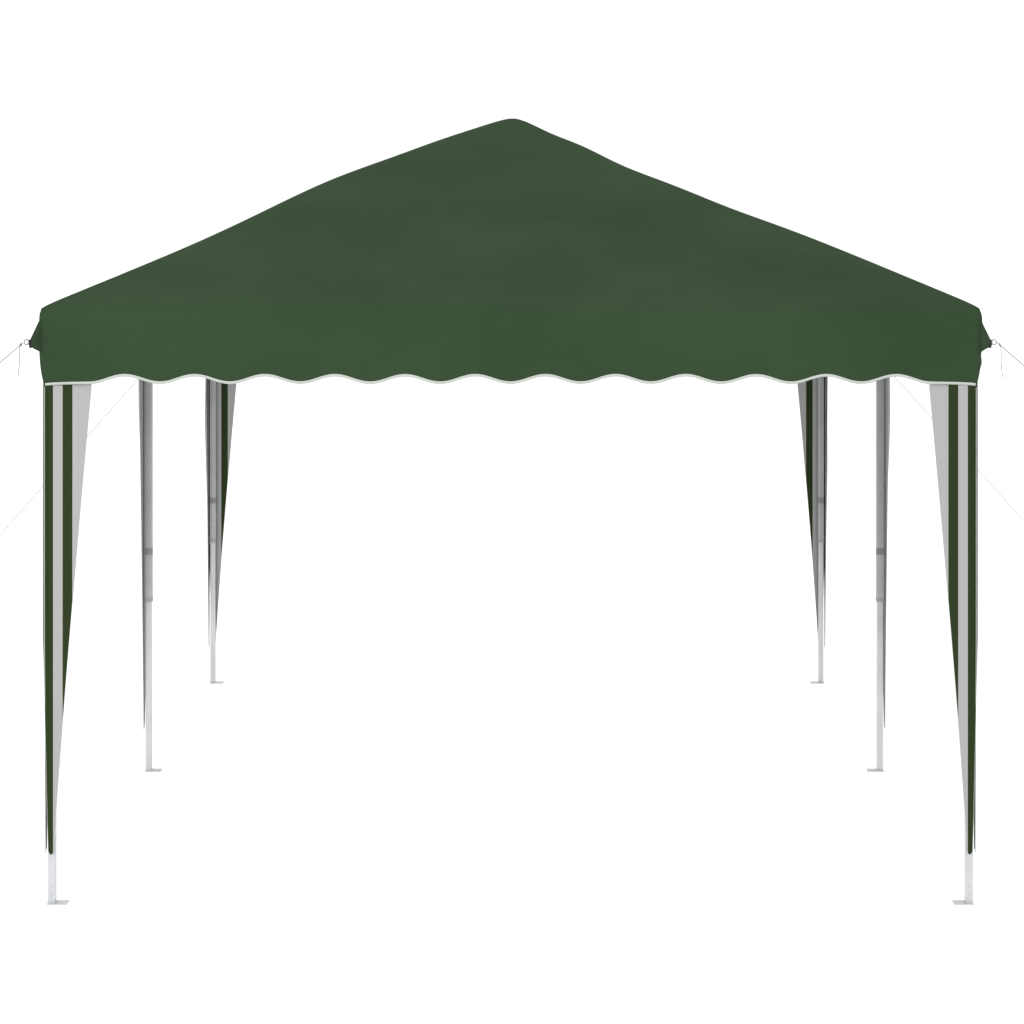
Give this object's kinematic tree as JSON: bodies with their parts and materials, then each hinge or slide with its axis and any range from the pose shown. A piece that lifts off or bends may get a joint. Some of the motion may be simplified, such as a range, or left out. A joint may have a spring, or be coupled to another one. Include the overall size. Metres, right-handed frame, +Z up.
{
  "type": "pop up gazebo",
  "caption": "Folding pop up gazebo with a green peaked canopy, wavy valance, striped leg curtains, scissor trusses, telescopic legs and guy ropes.",
  "frame": {"origin": "on the ground, midway between the six legs", "axes": "+Z up, +Y along the long side towards the back, +X to the right seen from the front"},
  "size_m": [5.6648, 5.5248, 2.6],
  "materials": {
    "leg_steel": "satin",
    "inner_leg_steel": "satin",
    "slider_steel": "satin",
    "strut_steel": "satin",
    "canopy_cloth": "matte",
    "curtain_cloth": "matte",
    "binding": "matte",
    "webbing": "matte",
    "ring_steel": "polished",
    "dark_plastic": "matte",
    "rope": "matte"
  },
  "bodies": {
    "middle_left_upper_leg": {"middle_left_upper_leg": "leg_steel"},
    "middle_strut_1_falling": {"middle_strut_1_falling": "strut_steel"},
    "middle_strut_1_rising": {"middle_strut_1_rising": "strut_steel"},
    "middle_strut_2_falling": {"middle_strut_2_falling": "strut_steel"},
    "middle_strut_2_rising": {"middle_strut_2_rising": "strut_steel"},
    "middle_strut_3_falling": {"middle_strut_3_falling": "strut_steel"},
    "middle_strut_3_rising": {"middle_strut_3_rising": "strut_steel"},
    "peak_pole": {"peak_pole": "leg_steel", "canopy": "canopy_cloth", "corner_curtains": "curtain_cloth", "middle_curtains": "curtain_cloth"},
    "middle_left_slider": {"middle_left_slider": "slider_steel"},
    "middle_right_upper_leg": {"middle_right_upper_leg": "leg_steel"},
    "middle_right_slider": {"middle_right_slider": "slider_steel"},
    "left_front_strut_1_falling": {"left_front_strut_1_falling": "strut_steel"},
    "left_front_strut_1_rising": {"left_front_strut_1_rising": "strut_steel"},
    "left_front_strut_2_falling": {"left_front_strut_2_falling": "strut_steel"},
    "left_front_strut_2_rising": {"left_front_strut_2_rising": "strut_steel"},
    "front_left_upper_leg": {"front_left_upper_leg": "leg_steel", "front_left_guy_rope": "rope"},
    "front_left_slider": {"front_left_slider": "slider_steel"},
    "left_back_strut_1_falling": {"left_back_strut_1_falling": "strut_steel"},
    "left_back_strut_1_rising": {"left_back_strut_1_rising": "strut_steel"},
    "left_back_strut_2_falling": {"left_back_strut_2_falling": "strut_steel"},
    "left_back_strut_2_rising": {"left_back_strut_2_rising": "strut_steel"},
    "back_left_upper_leg": {"back_left_upper_leg": "leg_steel", "back_left_guy_rope": "rope"},
    "back_left_slider": {"back_left_slider": "slider_steel"},
    "right_front_strut_1_falling": {"right_front_strut_1_falling": "strut_steel"},
    "right_front_strut_1_rising": {"right_front_strut_1_rising": "strut_steel"},
    "right_front_strut_2_falling": {"right_front_strut_2_falling": "strut_steel"},
    "right_front_strut_2_rising": {"right_front_strut_2_rising": "strut_steel"},
    "front_right_upper_leg": {"front_right_upper_leg": "leg_steel", "front_right_guy_rope": "rope"},
    "front_right_slider": {"front_right_slider": "slider_steel"},
    "right_back_strut_1_falling": {"right_back_strut_1_falling": "strut_steel"},
    "right_back_strut_1_rising": {"right_back_strut_1_rising": "strut_steel"},
    "right_back_strut_2_falling": {"right_back_strut_2_falling": "strut_steel"},
    "right_back_strut_2_rising": {"right_back_strut_2_rising": "strut_steel"},
    "back_right_upper_leg": {"back_right_upper_leg": "leg_steel", "back_right_guy_rope": "rope"},
    "back_right_slider": {"back_right_slider": "slider_steel"},
    "front_strut_1_falling": {"front_strut_1_falling": "strut_steel"},
    "front_strut_1_rising": {"front_strut_1_rising": "strut_steel"},
    "front_strut_2_falling": {"front_strut_2_falling": "strut_steel"},
    "front_strut_2_rising": {"front_strut_2_rising": "strut_steel"},
    "front_strut_3_falling": {"front_strut_3_falling": "strut_steel"},
    "front_strut_3_rising": {"front_strut_3_rising": "strut_steel"},
    "back_strut_1_falling": {"back_strut_1_falling": "strut_steel"},
    "back_strut_1_rising": {"back_strut_1_rising": "strut_steel"},
    "back_strut_2_falling": {"back_strut_2_falling": "strut_steel"},
    "back_strut_2_rising": {"back_strut_2_rising": "strut_steel"},
    "back_strut_3_falling": {"back_strut_3_falling": "strut_steel"},
    "back_strut_3_rising": {"back_strut_3_rising": "strut_steel"},
    "front_left_lower_leg": {"front_left_lower_leg": "inner_leg_steel"},
    "front_right_lower_leg": {"front_right_lower_leg": "inner_leg_steel"},
    "middle_left_lower_leg": {"middle_left_lower_leg": "inner_leg_steel"},
    "middle_right_lower_leg": {"middle_right_lower_leg": "inner_leg_steel"},
    "back_left_lower_leg": {"back_left_lower_leg": "inner_leg_steel"},
    "back_right_lower_leg": {"back_right_lower_leg": "inner_leg_steel"}
  },
  "joints": [
    {"name": "frame_fold", "type": "hinge", "parent": "middle_left_upper_leg", "child": "middle_strut_1_falling", "pos_m": [-1.425, 0, 1.85], "axis": [0, 1, 0], "range_deg": [0, 70], "deforming": ["canopy", "corner_curtains", "middle_curtains"]},
    {"name": "middle_strut_1_rising_pivot", "type": "hinge", "parent": "middle_strut_1_falling", "child": "middle_strut_1_rising", "pos_m": [-0.95, 0, 1.775], "axis": [0, -1, 0], "range_deg": [0, 140]},
    {"name": "middle_strut_2_falling_pivot", "type": "hinge", "parent": "middle_strut_1_rising", "child": "middle_strut_2_falling", "pos_m": [-0.475, 0, 1.85], "axis": [0, -1, 0], "range_deg": [-140, 0]},
    {"name": "middle_strut_2_rising_pivot", "type": "hinge", "parent": "middle_strut_2_falling", "child": "middle_strut_2_rising", "pos_m": [0, 0, 1.775], "axis": [0, -1, 0], "range_deg": [0, 140]},
    {"name": "peak_pole_pivot", "type": "hinge", "parent": "middle_strut_2_falling", "child": "peak_pole", "pos_m": [0, 0, 1.775], "axis": [0, -1, 0], "range_deg": [0, 70]},
    {"name": "middle_strut_3_falling_pivot", "type": "hinge", "parent": "middle_strut_2_rising", "child": "middle_strut_3_falling", "pos_m": [0.475, 0, 1.85], "axis": [0, -1, 0], "range_deg": [-140, 0]},
    {"name": "middle_strut_3_rising_pivot", "type": "hinge", "parent": "middle_strut_3_falling", "child": "middle_strut_3_rising", "pos_m": [0.95, 0, 1.775], "axis": [0, -1, 0], "range_deg": [0, 140]},
    {"name": "middle_left_slider_pivot", "type": "hinge", "parent": "middle_strut_1_rising", "child": "middle_left_slider", "pos_m": [-1.425, 0, 1.7], "axis": [0, -1, 0], "range_deg": [-70, 0]},
    {"name": "middle_right_upper_leg_pivot", "type": "hinge", "parent": "middle_strut_3_rising", "child": "middle_right_upper_leg", "pos_m": [1.425, 0, 1.85], "axis": [0, -1, 0], "range_deg": [-70, 0]},
    {"name": "middle_right_slider_pivot", "type": "hinge", "parent": "middle_strut_3_falling", "child": "middle_right_slider", "pos_m": [1.425, 0, 1.7], "axis": [0, -1, 0], "range_deg": [0, 70]},
    {"name": "left_front_strut_2_rising_pivot", "type": "hinge", "parent": "middle_left_upper_leg", "child": "left_front_strut_2_rising", "pos_m": [-1.46, -0.035, 1.85], "axis": [1, 0, 0], "range_deg": [0, 70]},
    {"name": "left_front_strut_2_falling_pivot", "type": "hinge", "parent": "left_front_strut_2_rising", "child": "left_front_strut_2_falling", "pos_m": [-1.46, -0.51, 1.775], "axis": [1, 0, 0], "range_deg": [-140, 0]},
    {"name": "left_front_strut_1_rising_pivot", "type": "hinge", "parent": "left_front_strut_2_falling", "child": "left_front_strut_1_rising", "pos_m": [-1.46, -0.985, 1.85], "axis": [1, 0, 0], "range_deg": [0, 140]},
    {"name": "left_front_strut_1_falling_pivot", "type": "hinge", "parent": "left_front_strut_1_rising", "child": "left_front_strut_1_falling", "pos_m": [-1.46, -1.46, 1.775], "axis": [1, 0, 0], "range_deg": [-140, 0]},
    {"name": "front_left_upper_leg_pivot", "type": "hinge", "parent": "left_front_strut_1_falling", "child": "front_left_upper_leg", "pos_m": [-1.46, -1.935, 1.85], "axis": [1, 0, 0], "range_deg": [0, 70]},
    {"name": "front_left_slider_pivot", "type": "hinge", "parent": "left_front_strut_1_rising", "child": "front_left_slider", "pos_m": [-1.46, -1.935, 1.7], "axis": [1, 0, 0], "range_deg": [-70, 0]},
    {"name": "left_back_strut_1_falling_pivot", "type": "hinge", "parent": "middle_left_upper_leg", "child": "left_back_strut_1_falling", "pos_m": [-1.46, 0.035, 1.85], "axis": [1, 0, 0], "range_deg": [-70, 0]},
    {"name": "left_back_strut_1_rising_pivot", "type": "hinge", "parent": "left_back_strut_1_falling", "child": "left_back_strut_1_rising", "pos_m": [-1.46, 0.51, 1.775], "axis": [1, 0, 0], "range_deg": [0, 140]},
    {"name": "left_back_strut_2_falling_pivot", "type": "hinge", "parent": "left_back_strut_1_rising", "child": "left_back_strut_2_falling", "pos_m": [-1.46, 0.985, 1.85], "axis": [1, 0, 0], "range_deg": [-140, 0]},
    {"name": "left_back_strut_2_rising_pivot", "type": "hinge", "parent": "left_back_strut_2_falling", "child": "left_back_strut_2_rising", "pos_m": [-1.46, 1.46, 1.775], "axis": [1, 0, 0], "range_deg": [0, 140]},
    {"name": "back_left_upper_leg_pivot", "type": "hinge", "parent": "left_back_strut_2_rising", "child": "back_left_upper_leg", "pos_m": [-1.46, 1.935, 1.85], "axis": [1, 0, 0], "range_deg": [-70, 0]},
    {"name": "back_left_slider_pivot", "type": "hinge", "parent": "left_back_strut_2_falling", "child": "back_left_slider", "pos_m": [-1.46, 1.935, 1.7], "axis": [1, 0, 0], "range_deg": [0, 70]},
    {"name": "right_front_strut_2_rising_pivot", "type": "hinge", "parent": "middle_right_upper_leg", "child": "right_front_strut_2_rising", "pos_m": [1.46, -0.035, 1.85], "axis": [1, 0, 0], "range_deg": [0, 70]},
    {"name": "right_front_strut_2_falling_pivot", "type": "hinge", "parent": "right_front_strut_2_rising", "child": "right_front_strut_2_falling", "pos_m": [1.46, -0.51, 1.775], "axis": [1, 0, 0], "range_deg": [-140, 0]},
    {"name": "right_front_strut_1_rising_pivot", "type": "hinge", "parent": "right_front_strut_2_falling", "child": "right_front_strut_1_rising", "pos_m": [1.46, -0.985, 1.85], "axis": [1, 0, 0], "range_deg": [0, 140]},
    {"name": "right_front_strut_1_falling_pivot", "type": "hinge", "parent": "right_front_strut_1_rising", "child": "right_front_strut_1_falling", "pos_m": [1.46, -1.46, 1.775], "axis": [1, 0, 0], "range_deg": [-140, 0]},
    {"name": "front_right_upper_leg_pivot", "type": "hinge", "parent": "right_front_strut_1_falling", "child": "front_right_upper_leg", "pos_m": [1.46, -1.935, 1.85], "axis": [1, 0, 0], "range_deg": [0, 70]},
    {"name": "front_right_slider_pivot", "type": "hinge", "parent": "right_front_strut_1_rising", "child": "front_right_slider", "pos_m": [1.46, -1.935, 1.7], "axis": [1, 0, 0], "range_deg": [-70, 0]},
    {"name": "right_back_strut_1_falling_pivot", "type": "hinge", "parent": "middle_right_upper_leg", "child": "right_back_strut_1_falling", "pos_m": [1.46, 0.035, 1.85], "axis": [1, 0, 0], "range_deg": [-70, 0]},
    {"name": "right_back_strut_1_rising_pivot", "type": "hinge", "parent": "right_back_strut_1_falling", "child": "right_back_strut_1_rising", "pos_m": [1.46, 0.51, 1.775], "axis": [1, 0, 0], "range_deg": [0, 140]},
    {"name": "right_back_strut_2_falling_pivot", "type": "hinge", "parent": "right_back_strut_1_rising", "child": "right_back_strut_2_falling", "pos_m": [1.46, 0.985, 1.85], "axis": [1, 0, 0], "range_deg": [-140, 0]},
    {"name": "right_back_strut_2_rising_pivot", "type": "hinge", "parent": "right_back_strut_2_falling", "child": "right_back_strut_2_rising", "pos_m": [1.46, 1.46, 1.775], "axis": [1, 0, 0], "range_deg": [0, 140]},
    {"name": "back_right_upper_leg_pivot", "type": "hinge", "parent": "right_back_strut_2_rising", "child": "back_right_upper_leg", "pos_m": [1.46, 1.935, 1.85], "axis": [1, 0, 0], "range_deg": [-70, 0]},
    {"name": "back_right_slider_pivot", "type": "hinge", "parent": "right_back_strut_2_falling", "child": "back_right_slider", "pos_m": [1.46, 1.935, 1.7], "axis": [1, 0, 0], "range_deg": [0, 70]},
    {"name": "front_strut_1_falling_pivot", "type": "hinge", "parent": "front_left_upper_leg", "child": "front_strut_1_falling", "pos_m": [-1.425, -1.97, 1.85], "axis": [0, -1, 0], "range_deg": [-70, 0]},
    {"name": "front_strut_1_rising_pivot", "type": "hinge", "parent": "front_strut_1_falling", "child": "front_strut_1_rising", "pos_m": [-0.95, -1.97, 1.775], "axis": [0, -1, 0], "range_deg": [0, 140]},
    {"name": "front_strut_2_falling_pivot", "type": "hinge", "parent": "front_strut_1_rising", "child": "front_strut_2_falling", "pos_m": [-0.475, -1.97, 1.85], "axis": [0, -1, 0], "range_deg": [-140, 0]},
    {"name": "front_strut_2_rising_pivot", "type": "hinge", "parent": "front_strut_2_falling", "child": "front_strut_2_rising", "pos_m": [0, -1.97, 1.775], "axis": [0, -1, 0], "range_deg": [0, 140]},
    {"name": "front_strut_3_falling_pivot", "type": "hinge", "parent": "front_strut_2_rising", "child": "front_strut_3_falling", "pos_m": [0.475, -1.97, 1.85], "axis": [0, -1, 0], "range_deg": [-140, 0]},
    {"name": "front_strut_3_rising_pivot", "type": "hinge", "parent": "front_strut_3_falling", "child": "front_strut_3_rising", "pos_m": [0.95, -1.97, 1.775], "axis": [0, -1, 0], "range_deg": [0, 140]},
    {"name": "back_strut_1_falling_pivot", "type": "hinge", "parent": "back_left_upper_leg", "child": "back_strut_1_falling", "pos_m": [-1.425, 1.97, 1.85], "axis": [0, -1, 0], "range_deg": [-70, 0]},
    {"name": "back_strut_1_rising_pivot", "type": "hinge", "parent": "back_strut_1_falling", "child": "back_strut_1_rising", "pos_m": [-0.95, 1.97, 1.775], "axis": [0, -1, 0], "range_deg": [0, 140]},
    {"name": "back_strut_2_falling_pivot", "type": "hinge", "parent": "back_strut_1_rising", "child": "back_strut_2_falling", "pos_m": [-0.475, 1.97, 1.85], "axis": [0, -1, 0], "range_deg": [-140, 0]},
    {"name": "back_strut_2_rising_pivot", "type": "hinge", "parent": "back_strut_2_falling", "child": "back_strut_2_rising", "pos_m": [0, 1.97, 1.775], "axis": [0, -1, 0], "range_deg": [0, 140]},
    {"name": "back_strut_3_falling_pivot", "type": "hinge", "parent": "back_strut_2_rising", "child": "back_strut_3_falling", "pos_m": [0.475, 1.97, 1.85], "axis": [0, -1, 0], "range_deg": [-140, 0]},
    {"name": "back_strut_3_rising_pivot", "type": "hinge", "parent": "back_strut_3_falling", "child": "back_strut_3_rising", "pos_m": [0.95, 1.97, 1.775], "axis": [0, -1, 0], "range_deg": [0, 140]},
    {"name": "front_left_leg_length", "type": "slide", "parent": "front_left_upper_leg", "child": "front_left_lower_leg", "axis": [0, 0, 1], "range_m": [0, 0.6]},
    {"name": "front_right_leg_length", "type": "slide", "parent": "front_right_upper_leg", "child": "front_right_lower_leg", "axis": [0, 0, 1], "range_m": [0, 0.6]},
    {"name": "middle_left_leg_length", "type": "slide", "parent": "middle_left_upper_leg", "child": "middle_left_lower_leg", "axis": [0, 0, 1], "range_m": [0, 0.6]},
    {"name": "middle_right_leg_length", "type": "slide", "parent": "middle_right_upper_leg", "child": "middle_right_lower_leg", "axis": [0, 0, 1], "range_m": [0, 0.6]},
    {"name": "back_left_leg_length", "type": "slide", "parent": "back_left_upper_leg", "child": "back_left_lower_leg", "axis": [0, 0, 1], "range_m": [0, 0.6]},
    {"name": "back_right_leg_length", "type": "slide", "parent": "back_right_upper_leg", "child": "back_right_lower_leg", "axis": [0, 0, 1], "range_m": [0, 0.6]}
  ],
  "couplings": [
    {"joint": "middle_strut_1_rising_pivot", "follows": "frame_fold", "ratio": 2},
    {"joint": "middle_strut_2_falling_pivot", "follows": "frame_fold", "ratio": -2},
    {"joint": "middle_strut_2_rising_pivot", "follows": "frame_fold", "ratio": 2},
    {"joint": "peak_pole_pivot", "follows": "frame_fold", "ratio": 1},
    {"joint": "middle_strut_3_falling_pivot", "follows": "frame_fold", "ratio": -2},
    {"joint": "middle_strut_3_rising_pivot", "follows": "frame_fold", "ratio": 2},
    {"joint": "middle_left_slider_pivot", "follows": "frame_fold", "ratio": -1},
    {"joint": "middle_right_upper_leg_pivot", "follows": "frame_fold", "ratio": -1},
    {"joint": "middle_right_slider_pivot", "follows": "frame_fold", "ratio": 1},
    {"joint": "left_front_strut_2_rising_pivot", "follows": "frame_fold", "ratio": 1},
    {"joint": "left_front_strut_2_falling_pivot", "follows": "frame_fold", "ratio": -2},
    {"joint": "left_front_strut_1_rising_pivot", "follows": "frame_fold", "ratio": 2},
    {"joint": "left_front_strut_1_falling_pivot", "follows": "frame_fold", "ratio": -2},
    {"joint": "front_left_upper_leg_pivot", "follows": "frame_fold", "ratio": 1},
    {"joint": "front_left_slider_pivot", "follows": "frame_fold", "ratio": -1},
    {"joint": "left_back_strut_1_falling_pivot", "follows": "frame_fold", "ratio": -1},
    {"joint": "left_back_strut_1_rising_pivot", "follows": "frame_fold", "ratio": 2},
    {"joint": "left_back_strut_2_falling_pivot", "follows": "frame_fold", "ratio": -2},
    {"joint": "left_back_strut_2_rising_pivot", "follows": "frame_fold", "ratio": 2},
    {"joint": "back_left_upper_leg_pivot", "follows": "frame_fold", "ratio": -1},
    {"joint": "back_left_slider_pivot", "follows": "frame_fold", "ratio": 1},
    {"joint": "right_front_strut_2_rising_pivot", "follows": "frame_fold", "ratio": 1},
    {"joint": "right_front_strut_2_falling_pivot", "follows": "frame_fold", "ratio": -2},
    {"joint": "right_front_strut_1_rising_pivot", "follows": "frame_fold", "ratio": 2},
    {"joint": "right_front_strut_1_falling_pivot", "follows": "frame_fold", "ratio": -2},
    {"joint": "front_right_upper_leg_pivot", "follows": "frame_fold", "ratio": 1},
    {"joint": "front_right_slider_pivot", "follows": "frame_fold", "ratio": -1},
    {"joint": "right_back_strut_1_falling_pivot", "follows": "frame_fold", "ratio": -1},
    {"joint": "right_back_strut_1_rising_pivot", "follows": "frame_fold", "ratio": 2},
    {"joint": "right_back_strut_2_falling_pivot", "follows": "frame_fold", "ratio": -2},
    {"joint": "right_back_strut_2_rising_pivot", "follows": "frame_fold", "ratio": 2},
    {"joint": "back_right_upper_leg_pivot", "follows": "frame_fold", "ratio": -1},
    {"joint": "back_right_slider_pivot", "follows": "frame_fold", "ratio": 1},
    {"joint": "front_strut_1_falling_pivot", "follows": "frame_fold", "ratio": -1},
    {"joint": "front_strut_1_rising_pivot", "follows": "frame_fold", "ratio": 2},
    {"joint": "front_strut_2_falling_pivot", "follows": "frame_fold", "ratio": -2},
    {"joint": "front_strut_2_rising_pivot", "follows": "frame_fold", "ratio": 2},
    {"joint": "front_strut_3_falling_pivot", "follows": "frame_fold", "ratio": -2},
    {"joint": "front_strut_3_rising_pivot", "follows": "frame_fold", "ratio": 2},
    {"joint": "back_strut_1_falling_pivot", "follows": "frame_fold", "ratio": -1},
    {"joint": "back_strut_1_rising_pivot", "follows": "frame_fold", "ratio": 2},
    {"joint": "back_strut_2_falling_pivot", "follows": "frame_fold", "ratio": -2},
    {"joint": "back_strut_2_rising_pivot", "follows": "frame_fold", "ratio": 2},
    {"joint": "back_strut_3_falling_pivot", "follows": "frame_fold", "ratio": -2},
    {"joint": "back_strut_3_rising_pivot", "follows": "frame_fold", "ratio": 2}
  ]
}
